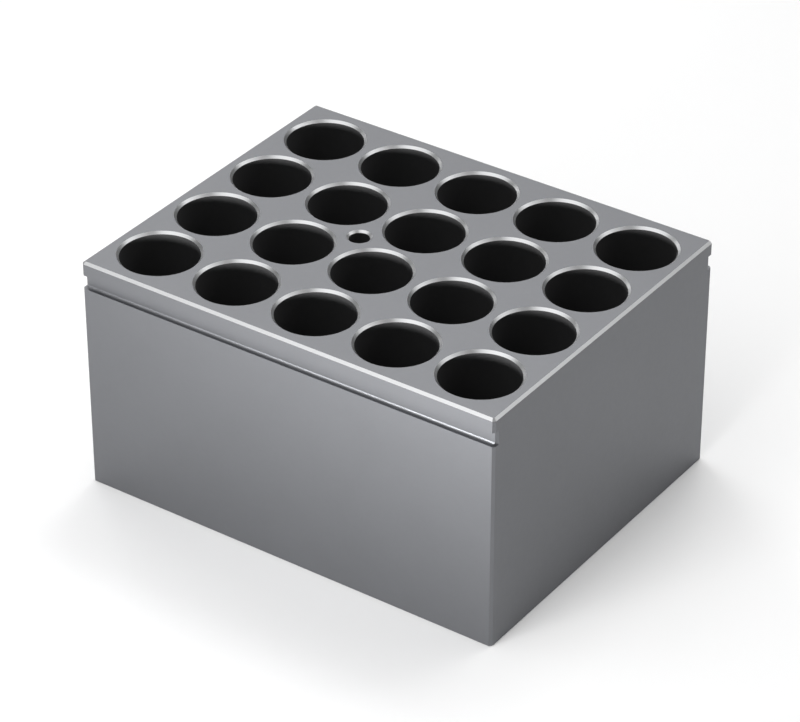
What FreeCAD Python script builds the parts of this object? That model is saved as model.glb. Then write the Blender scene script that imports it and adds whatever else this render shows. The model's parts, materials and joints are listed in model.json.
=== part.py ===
import FreeCAD, Part
import math
import os

# Heat block for a dry block heater, milled from one billet. Millimetres, +Z up.
# Origin at the centre of the base, X along the columns of tube bores, Y along the rows.

# Tube bores
TUBE_COLUMNS = 5
TUBE_ROWS = 4
TUBE_BORE_DIAMETER = 15.8
TUBE_FLOOR_CHAMFER = 1.0

# Metal left around the tube bores
COLUMN_WEB = 2.7
ROW_WEB = 2.2
END_WALL = 2.6
SIDE_WALL = 3.1
FLOOR_THICKNESS = 6.0
BLOCK_HEIGHT = 51.0

# Probe bore, drilled in the web between four tube bores
PROBE_BORE_DIAMETER = 4.2
PROBE_FLOOR_THICKNESS = 11.0
PROBE_POINT_ANGLE = 118.0
PROBE_GAP_COLUMN = 1
PROBE_GAP_ROW = 1

# Grip grooves, along both long faces and out through both ends
LIP_HEIGHT = 3.0
GROOVE_HEIGHT = 3.0
GROOVE_DEPTH = 1.0
GROOVE_ROOT_RADIUS = 0.5

# Broken edges
TOP_EDGE_CHAMFER = 0.5
CORNER_CHAMFER = 0.5
BASE_EDGE_CHAMFER = 0.2
TUBE_MOUTH_CHAMFER = 0.5
PROBE_MOUTH_CHAMFER = 0.45

# Cutters run this far past the face that they enter
OVERRUN = 1.0

# Sizes that follow from the values above
COLUMN_PITCH = TUBE_BORE_DIAMETER + COLUMN_WEB
ROW_PITCH = TUBE_BORE_DIAMETER + ROW_WEB
BLOCK_LENGTH = TUBE_COLUMNS * TUBE_BORE_DIAMETER + (TUBE_COLUMNS - 1) * COLUMN_WEB + 2 * END_WALL
BLOCK_WIDTH = TUBE_ROWS * TUBE_BORE_DIAMETER + (TUBE_ROWS - 1) * ROW_WEB + 2 * SIDE_WALL
LIP_BOTTOM = BLOCK_HEIGHT - LIP_HEIGHT
GROOVE_BOTTOM = LIP_BOTTOM - GROOVE_HEIGHT
GROOVE_WIDTH = BLOCK_WIDTH - 2 * GROOVE_DEPTH


def column_x(column):
    """X of a column of tube bores, counted from the -X end; half numbers fall in the webs."""
    return (column - (TUBE_COLUMNS - 1) / 2) * COLUMN_PITCH


def row_y(row):
    """Y of a row of tube bores, counted from the -Y face; half numbers fall in the webs."""
    return (row - (TUBE_ROWS - 1) / 2) * ROW_PITCH


def prism(width, bottom, top):
    """Upright slab of the block's length whose four corners are cut by the corner chamfer."""
    end = BLOCK_LENGTH / 2
    side = width / 2
    cut = CORNER_CHAMFER
    quarter = [(end, side - cut), (end - cut, side)]
    outline = []
    for sign_x, sign_y in ((1, 1), (-1, 1), (-1, -1), (1, -1)):
        corner = [(sign_x * x, sign_y * y) for x, y in quarter]
        if sign_x * sign_y < 0:
            corner.reverse()
        outline.extend(corner)
    points = [FreeCAD.Vector(x, y, bottom) for x, y in outline]
    face = Part.Face(Part.makePolygon(points + points[:1]))
    return face.extrude(FreeCAD.Vector(0, 0, top - bottom))


def same(first, second):
    """Whether two places along an axis are one place, to the kernel's own precision."""
    return abs(first - second) < Part.Precision.confusion()


def edges_at_height(shape, height):
    """Edges that lie flat at one height."""
    return [edge for edge in shape.Edges if all(same(end.Z, height) for end in edge.Vertexes)]


def groove_root_edges(shape):
    """The two long inner corners of each groove."""
    roots = []
    for height in (LIP_BOTTOM, GROOVE_BOTTOM):
        for edge in edges_at_height(shape, height):
            if all(same(abs(end.Y), GROOVE_WIDTH / 2) for end in edge.Vertexes):
                roots.append(edge)
    return roots


def billet():
    """The block before boring: lip, grooved neck and body, with rounded groove roots and broken edges."""
    body = prism(BLOCK_WIDTH, 0, GROOVE_BOTTOM)
    neck = prism(GROOVE_WIDTH, GROOVE_BOTTOM, LIP_BOTTOM)
    lip = prism(BLOCK_WIDTH, LIP_BOTTOM, BLOCK_HEIGHT)
    block = body.fuse([neck, lip]).removeSplitter()
    block = block.makeFillet(GROOVE_ROOT_RADIUS, groove_root_edges(block))
    block = block.makeChamfer(TOP_EDGE_CHAMFER, edges_at_height(block, BLOCK_HEIGHT))
    return block.makeChamfer(BASE_EDGE_CHAMFER, edges_at_height(block, 0))


def turned(profile, x, y):
    """Solid turned about the upright axis at x, y from a closed profile of radii and heights."""
    places = [FreeCAD.Vector(radius, 0, height) for radius, height in profile]
    face = Part.Face(Part.makePolygon(places))
    solid = face.revolve(FreeCAD.Vector(0, 0, 0), FreeCAD.Vector(0, 0, 1), 360)
    solid.translate(FreeCAD.Vector(x, y, 0))
    return solid


def mouth(radius, chamfer):
    """Profile points of a bore's chamfered mouth, from the wall to the axis above the block."""
    lead = chamfer + OVERRUN
    return [
        (radius, BLOCK_HEIGHT - chamfer),
        (radius + lead, BLOCK_HEIGHT + OVERRUN),
        (0, BLOCK_HEIGHT + OVERRUN),
    ]


def tube_cutter(x, y):
    """One tube bore: flat floor with a chamfered corner, straight wall, chamfered mouth."""
    radius = TUBE_BORE_DIAMETER / 2
    floor = FLOOR_THICKNESS
    corner = [(radius - TUBE_FLOOR_CHAMFER, floor), (radius, floor + TUBE_FLOOR_CHAMFER)]
    return turned([(0, floor)] + corner + mouth(radius, TUBE_MOUTH_CHAMFER) + [(0, floor)], x, y)


def probe_cutter(x, y):
    """The probe bore: drilled point, straight wall, chamfered mouth."""
    radius = PROBE_BORE_DIAMETER / 2
    floor = PROBE_FLOOR_THICKNESS
    point = radius / math.tan(math.radians(PROBE_POINT_ANGLE / 2))
    drilled = [(0, floor), (radius, floor + point)]
    return turned(drilled + mouth(radius, PROBE_MOUTH_CHAMFER) + [(0, floor)], x, y)


def tube_block():
    """The whole block: the billet with its grid of tube bores and its probe bore."""
    cutters = [
        tube_cutter(column_x(column), row_y(row))
        for column in range(TUBE_COLUMNS)
        for row in range(TUBE_ROWS)
    ]
    cutters.append(probe_cutter(column_x(PROBE_GAP_COLUMN + 0.5), row_y(PROBE_GAP_ROW + 0.5)))
    return billet().cut(cutters).removeSplitter()


os.makedirs("parts", exist_ok=True)
block = tube_block()
solid = block.Solids[0]
solid.exportStep("parts/tube_block.step")
print("tube_block", len(block.Solids), "solid, valid", solid.isValid(), "volume", round(solid.Volume, 2))
print("size", round(solid.BoundBox.XLength, 3), round(solid.BoundBox.YLength, 3), round(solid.BoundBox.ZLength, 3))
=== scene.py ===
import json
import math

import bpy
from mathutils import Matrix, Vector


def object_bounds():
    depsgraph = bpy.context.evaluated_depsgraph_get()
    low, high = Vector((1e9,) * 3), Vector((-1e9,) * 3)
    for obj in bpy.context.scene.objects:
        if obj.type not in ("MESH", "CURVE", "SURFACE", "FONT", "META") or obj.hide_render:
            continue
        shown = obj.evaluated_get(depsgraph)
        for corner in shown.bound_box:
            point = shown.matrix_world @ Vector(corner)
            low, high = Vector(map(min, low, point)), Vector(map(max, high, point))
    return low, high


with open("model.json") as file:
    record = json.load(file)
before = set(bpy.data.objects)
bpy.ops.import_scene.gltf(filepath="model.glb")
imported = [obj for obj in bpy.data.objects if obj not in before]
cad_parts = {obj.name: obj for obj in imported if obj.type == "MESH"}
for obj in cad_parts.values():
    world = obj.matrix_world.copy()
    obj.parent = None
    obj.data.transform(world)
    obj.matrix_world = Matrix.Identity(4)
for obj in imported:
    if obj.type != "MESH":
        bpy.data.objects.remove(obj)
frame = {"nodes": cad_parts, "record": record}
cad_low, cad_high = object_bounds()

MM = 0.001
NODE = "tube_block"
BLOCK_MIDDLE = (cad_low + cad_high) / 2

# Camera: it looks at a point on the plane of the block's top face
CAMERA_AZIMUTH = math.radians(34.97)
CAMERA_ELEVATION = math.radians(32.99)
CAMERA_DISTANCE = 649.8 * MM
CAMERA_LENS = 159.93
CAMERA_SENSOR = 36.0
TARGET_X = 22.51 * MM
TARGET_Y = -31.72 * MM

# Floor and surroundings
FLOOR_SIZE = 6.0
FLOOR_COLOUR = (0.94, 0.94, 0.94, 1.0)
FLOOR_ROUGHNESS = 0.9
WORLD_COLOUR = (1.0, 1.0, 1.0, 1.0)
WORLD_STRENGTH = 0.03

# Softboxes: name, place, point that each one faces, width and height, power in watts.
# The last two stand low in front and shine up past the front face, so that it darkens towards its foot.
FRONT_LAMP_X = 0.015
FRONT_LAMP_SIZE = (0.16, 0.05)
SOFTBOXES = (
    ("high_back_softbox", (0.05, 0.50, 0.85), BLOCK_MIDDLE, (0.6, 0.4), 3.2),
    ("back_left_softbox", (-0.55, 0.65, 0.35), BLOCK_MIDDLE, (0.6, 0.4), 1.5),
    ("left_softbox", (-0.75, 0.35, 0.50), BLOCK_MIDDLE, (0.5, 0.5), 2.15),
    ("high_right_softbox", (0.55, 0.25, 0.80), BLOCK_MIDDLE, (0.8, 0.6), 1.0),
    ("back_right_softbox", (0.55, 0.48, 0.46), BLOCK_MIDDLE, (0.5, 0.4), 0.5),
    ("near_top_softbox", (-0.05, 0.12, 0.30), BLOCK_MIDDLE, (0.2, 0.2), 0.22),
    ("high_front_softbox", (-0.18, -0.45, 0.75), BLOCK_MIDDLE, (1.3, 0.65), 3.0),
    ("low_front_softbox", (FRONT_LAMP_X, -0.24, 0.07), (FRONT_LAMP_X, -0.10, 0.27), FRONT_LAMP_SIZE, 1.75),
    ("near_front_softbox", (FRONT_LAMP_X, -0.20, 0.06), (FRONT_LAMP_X, -0.12, 0.22), FRONT_LAMP_SIZE, 0.75),
)

# A face's normal rises by less than UPRIGHT on an upright face and by more than FLAT on a level one.
# A top chamfer or bore mouth is a sloped face whose middle lies within CHAMFER_REACH of the top.
UPRIGHT = 0.001
FLAT = 0.999
CHAMFER_REACH = 0.8 * MM
TOLERANCE = 0.03 * MM

# Finish of the outer faces. Here and below, patches, grain and rings are scales per metre.
FACE_GREY = (0.178, 0.182, 0.192, 1.0)
FACE_PATCHES = 90.0
FACE_SPREAD = 0.015
FACE_ROUGHNESS = (0.46, 0.52)
FACE_ROUGHNESS_PATCHES = 900.0
GRAIN = 4500.0
GRAIN_STRENGTH = 0.12
GRAIN_DEPTH = 0.02 * MM

# Finish of the top chamfers and bore mouths
EDGE_GREY = (0.72, 0.725, 0.735, 1.0)
EDGE_PATCHES = 200.0
EDGE_SPREAD = 0.02
EDGE_ROUGHNESS = (0.33, 0.38)
EDGE_ROUGHNESS_PATCHES = 1500.0

# Bore walls: the near-black grey and weak shine are painted shade for the dark inside of the deep bores;
# the rings are a real bump
BORE_PAINTED_SHADE_GREY = (0.042, 0.042, 0.043, 1.0)
BORE_SPECULAR = 0.2
BORE_PATCHES = 150.0
BORE_SPREAD = 0.05
BORE_ROUGHNESS = (0.55, 0.65)
BORE_ROUGHNESS_PATCHES = 1200.0
RINGS = 900.0
RING_STRENGTH = 0.15
RING_DEPTH = 0.02 * MM

# The part of the noise over which a patch turns from its darkest to its lightest
PATCH_RANGE = (0.3, 0.7)


def add_node(tree, kind, **values):
    """A shader node with some of its sockets set by name."""
    made = tree.nodes.new(kind)
    for name, value in values.items():
        made.inputs[name.replace("_", " ")].default_value = value
    return made


def pattern(tree, place, kind, **values):
    """A texture node that is read at the given place."""
    made = add_node(tree, kind, **values)
    tree.links.new(place, made.inputs["Vector"])
    return made


def new_material(name):
    """A node material, with its tree, its Principled shader and the object's own coordinates."""
    material = bpy.data.materials.new(name)
    material.use_nodes = True
    tree = material.node_tree
    shader = tree.nodes["Principled BSDF"]
    place = add_node(tree, "ShaderNodeTexCoord").outputs["Object"]
    return material, tree, shader, place


def mottle(tree, place, colour, scale, spread):
    """The colour made a little lighter and darker in soft patches."""
    noise = pattern(tree, place, "ShaderNodeTexNoise", Scale=scale, Detail=4.0, Roughness=0.6)
    ramp = tree.nodes.new("ShaderNodeValToRGB")
    factors = (1 - spread, 1 + spread)
    for element, position, factor in zip(ramp.color_ramp.elements, PATCH_RANGE, factors):
        element.position = position
        element.color = [channel * factor for channel in colour[:3]] + [1.0]
    tree.links.new(noise.outputs["Fac"], ramp.inputs["Fac"])
    return ramp.outputs["Color"]


def varied_roughness(tree, place, scale, limits):
    """Roughness that wanders between two values."""
    low, high = limits
    noise = pattern(tree, place, "ShaderNodeTexNoise", Scale=scale, Detail=3.0)
    span = add_node(tree, "ShaderNodeMapRange", To_Min=low, To_Max=high)
    tree.links.new(noise.outputs["Fac"], span.inputs["Value"])
    return span.outputs["Result"]


def bumped(tree, texture, strength, depth):
    """The surface's normal, bumped by a texture node."""
    bump = add_node(tree, "ShaderNodeBump", Strength=strength, Distance=depth)
    tree.links.new(texture.outputs["Fac"], bump.inputs["Height"])
    return bump.outputs["Normal"]


def satin_face():
    """Outer faces: blasted to a fine grain and anodised."""
    material, tree, shader, place = new_material("satin_anodised_face")
    shader.inputs["Metallic"].default_value = 1.0
    colour = mottle(tree, place, FACE_GREY, FACE_PATCHES, FACE_SPREAD)
    roughness = varied_roughness(tree, place, FACE_ROUGHNESS_PATCHES, FACE_ROUGHNESS)
    grain = pattern(tree, place, "ShaderNodeTexNoise", Scale=GRAIN, Detail=2.0)
    tree.links.new(colour, shader.inputs["Base Color"])
    tree.links.new(roughness, shader.inputs["Roughness"])
    tree.links.new(bumped(tree, grain, GRAIN_STRENGTH, GRAIN_DEPTH), shader.inputs["Normal"])
    return material


def lighter_edge():
    """Top chamfers and bore mouths: smoother and a much lighter grey than the faces."""
    material, tree, shader, place = new_material("lighter_top_edge_material")
    shader.inputs["Metallic"].default_value = 1.0
    colour = mottle(tree, place, EDGE_GREY, EDGE_PATCHES, EDGE_SPREAD)
    roughness = varied_roughness(tree, place, EDGE_ROUGHNESS_PATCHES, EDGE_ROUGHNESS)
    tree.links.new(colour, shader.inputs["Base Color"])
    tree.links.new(roughness, shader.inputs["Roughness"])
    return material


def bore_wall_painted_shade():
    """Bore walls: a near-black grey that is painted shade for the dark inside of the deep bores, with fine
    rings left by the boring tool.
    """
    material, tree, shader, place = new_material("painted_shade_bore_wall")
    shader.inputs["Metallic"].default_value = 0.0
    shader.inputs["Specular IOR Level"].default_value = BORE_SPECULAR
    colour = mottle(tree, place, BORE_PAINTED_SHADE_GREY, BORE_PATCHES, BORE_SPREAD)
    roughness = varied_roughness(tree, place, BORE_ROUGHNESS_PATCHES, BORE_ROUGHNESS)
    rings = pattern(tree, place, "ShaderNodeTexWave", Scale=RINGS, Distortion=0.4, Detail=1.0)
    rings.bands_direction = "Z"
    tree.links.new(colour, shader.inputs["Base Color"])
    tree.links.new(roughness, shader.inputs["Roughness"])
    tree.links.new(bumped(tree, rings, RING_STRENGTH, RING_DEPTH), shader.inputs["Normal"])
    return material


def bore_axes():
    """Place and radius of every bore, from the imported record's mounts."""
    axes = []
    for mount in frame["record"]["mounts"]:
        if mount["kind"] == "bore":
            x, y, _ = mount["pos_m"]
            axes.append((x, y, mount["dims"]["r_mm"] * MM))
    return axes


def face_region(face, axes):
    """Which material a face of the block takes: face, edge or bore, whose material is painted shade."""
    x, y, z = face.center
    if cad_high.z - z < CHAMFER_REACH and UPRIGHT < face.normal.z < FLAT:
        return "edge"
    for bore_x, bore_y, radius in axes:
        inside = math.hypot(x - bore_x, y - bore_y) < radius + TOLERANCE
        if inside and z > cad_low.z + TOLERANCE:
            return "bore"
    return "face"


def dress_block():
    """Gives each region of the block its own material."""
    block = frame["nodes"][NODE]
    # The bore material's near-black grey is painted shade for the dark inside of the bores.
    materials = {"face": satin_face(), "edge": lighter_edge(), "bore": bore_wall_painted_shade()}
    block.data.materials.clear()
    for material in materials.values():
        block.data.materials.append(material)
    slots = list(materials)
    axes = bore_axes()
    for face in block.data.polygons:
        face.material_index = slots.index(face_region(face, axes))


def make_floor():
    """Pale floor that keeps the block's soft shadow."""
    half = FLOOR_SIZE / 2
    corners = [(-half, -half), (half, -half), (half, half), (-half, half)]
    mesh = bpy.data.meshes.new("floor")
    mesh.from_pydata([(x, y, cad_low.z) for x, y in corners], [], [(0, 1, 2, 3)])
    floor = bpy.data.objects.new("floor", mesh)
    bpy.context.scene.collection.objects.link(floor)
    material = bpy.data.materials.new("pale_floor")
    material.use_nodes = True
    shader = material.node_tree.nodes["Principled BSDF"]
    shader.inputs["Base Color"].default_value = FLOOR_COLOUR
    shader.inputs["Roughness"].default_value = FLOOR_ROUGHNESS
    shader.inputs["Specular IOR Level"].default_value = 0.0
    mesh.materials.append(material)


def make_world():
    """Dim, even surroundings, so that the lamps do the shaping."""
    world = bpy.data.worlds.new("studio")
    world.use_nodes = True
    light = world.node_tree.nodes["Background"]
    light.inputs["Color"].default_value = WORLD_COLOUR
    light.inputs["Strength"].default_value = WORLD_STRENGTH
    bpy.context.scene.world = world


def softbox(name, place, aim, size, power):
    """Rectangular area lamp at a place, facing a point."""
    lamp = bpy.data.lights.new(name, "AREA")
    lamp.shape = "RECTANGLE"
    lamp.size, lamp.size_y = size
    lamp.energy = power
    lamp_object = bpy.data.objects.new(name, lamp)
    lamp_object.location = place
    lamp_object.rotation_euler = (Vector(aim) - Vector(place)).to_track_quat("-Z", "Y").to_euler()
    bpy.context.scene.collection.objects.link(lamp_object)


def make_camera():
    """Camera at the photograph's angle, distance and lens."""
    camera = bpy.data.cameras.new("camera")
    camera.lens = CAMERA_LENS
    camera.sensor_width = CAMERA_SENSOR
    camera_object = bpy.data.objects.new("camera", camera)
    back = Vector((
        math.sin(CAMERA_AZIMUTH) * math.cos(CAMERA_ELEVATION),
        -math.cos(CAMERA_AZIMUTH) * math.cos(CAMERA_ELEVATION),
        math.sin(CAMERA_ELEVATION),
    ))
    target = Vector((TARGET_X, TARGET_Y, cad_high.z))
    camera_object.location = target + CAMERA_DISTANCE * back
    camera_object.rotation_euler = back.to_track_quat("Z", "Y").to_euler()
    bpy.context.scene.collection.objects.link(camera_object)
    bpy.context.scene.camera = camera_object


dress_block()
make_floor()
make_world()
for softbox_values in SOFTBOXES:
    softbox(*softbox_values)
make_camera()
bpy.context.scene.view_settings.view_transform = "Standard"
